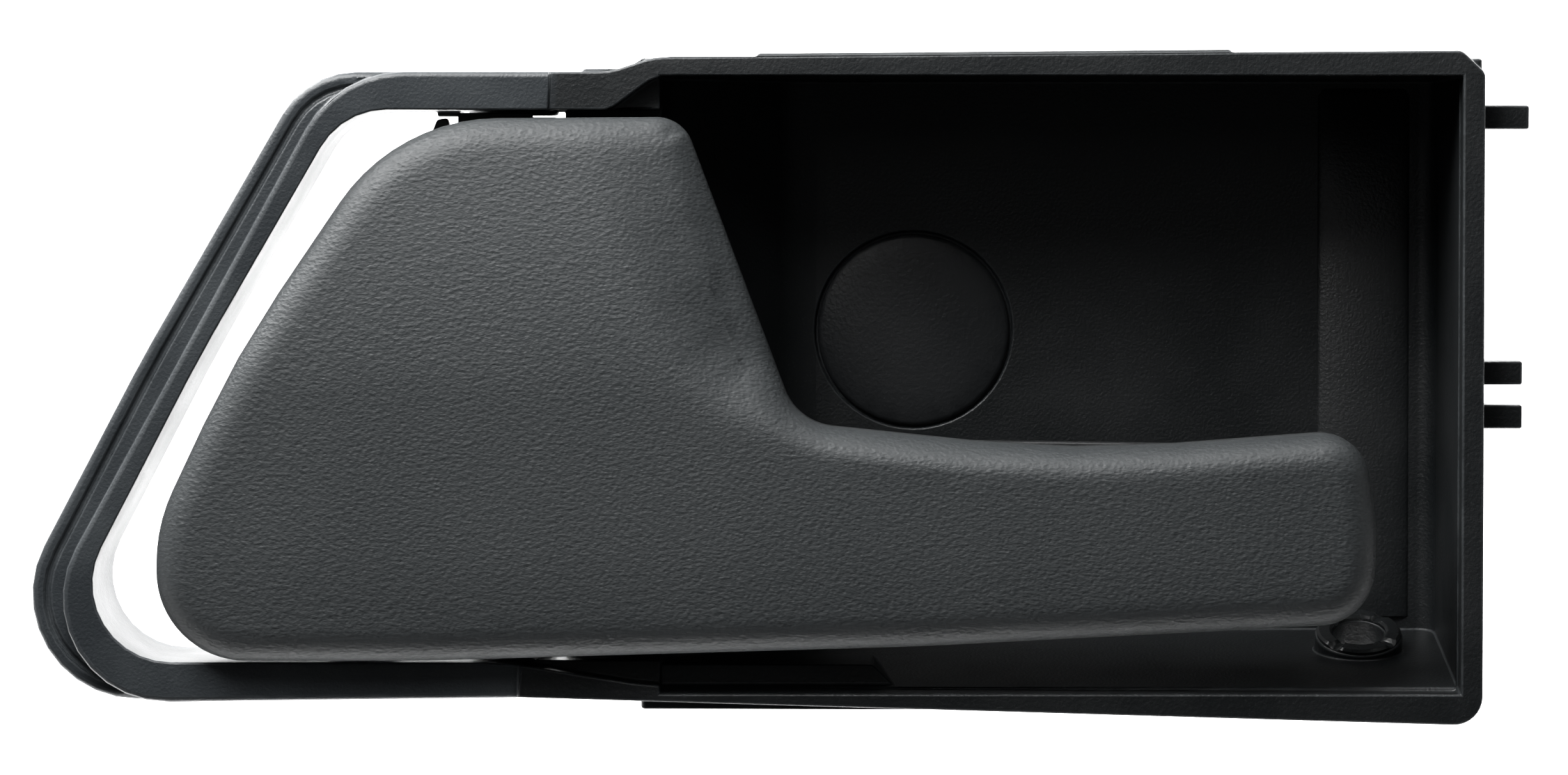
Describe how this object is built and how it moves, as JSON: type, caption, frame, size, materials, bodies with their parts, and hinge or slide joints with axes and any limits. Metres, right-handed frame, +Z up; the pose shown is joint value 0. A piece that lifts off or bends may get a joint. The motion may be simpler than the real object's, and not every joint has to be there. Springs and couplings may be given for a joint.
{
  "type": "car door handle",
  "caption": "Interior car door pull handle: a sprung lever hinged in a moulded housing with an open ring and a finger bowl, with a rod clip for the latch.",
  "frame": {"origin": "middle of the trim cut-out, on the plane where the hook flange meets the trim's inner face", "axes": "+X to the right and +Z up as the door trim is seen from the cabin, +Y into the door"},
  "size_m": [0.157, 0.0384, 0.0705],
  "materials": {
    "housing_black": "fine-grained black moulding, smoother inside the bowl",
    "grip_grey": "dark grey with a fine leather grain",
    "carrier_black": "plain black moulding",
    "zinc_steel": "zinc-plated",
    "spring_steel": "oiled spring steel",
    "bush_acetal": "natural acetal",
    "buffer_rubber": "matt black rubber",
    "clip_plastic": "green clip moulding"
  },
  "bodies": {
    "housing_body": {"housing": "housing_black", "cover_cap": "housing_black", "pivot_pin": "zinc_steel", "pin_retainer": "spring_steel", "return_spring": "spring_steel", "rest_buffer_upper": "buffer_rubber", "rest_buffer_lower": "buffer_rubber", "travel_buffer": "buffer_rubber"},
    "lever": {"lever_grip": "grip_grey", "lever_carrier": "carrier_black", "upper_bush": "bush_acetal", "lower_bush": "bush_acetal", "grip_screw_1": "zinc_steel", "grip_screw_2": "zinc_steel", "grip_screw_3": "zinc_steel"},
    "clip": {"rod_clip": "clip_plastic"}
  },
  "joints": [
    {"name": "lever_hinge", "type": "hinge", "parent": "housing_body", "child": "lever", "pos_m": [-0.02865, 0.008, 0], "axis": [0, 0, -1], "range_deg": [0, 25], "stiffness_Nm_per_rad": 0.25, "springref_deg": -34.38, "deforming": ["return_spring"]},
    {"name": "clip_swivel", "type": "hinge", "parent": "lever", "child": "clip", "pos_m": [-0.0405, 0.02, -0.0115], "axis": [0, 0, 1], "range_deg": [-35, 35]}
  ]
}
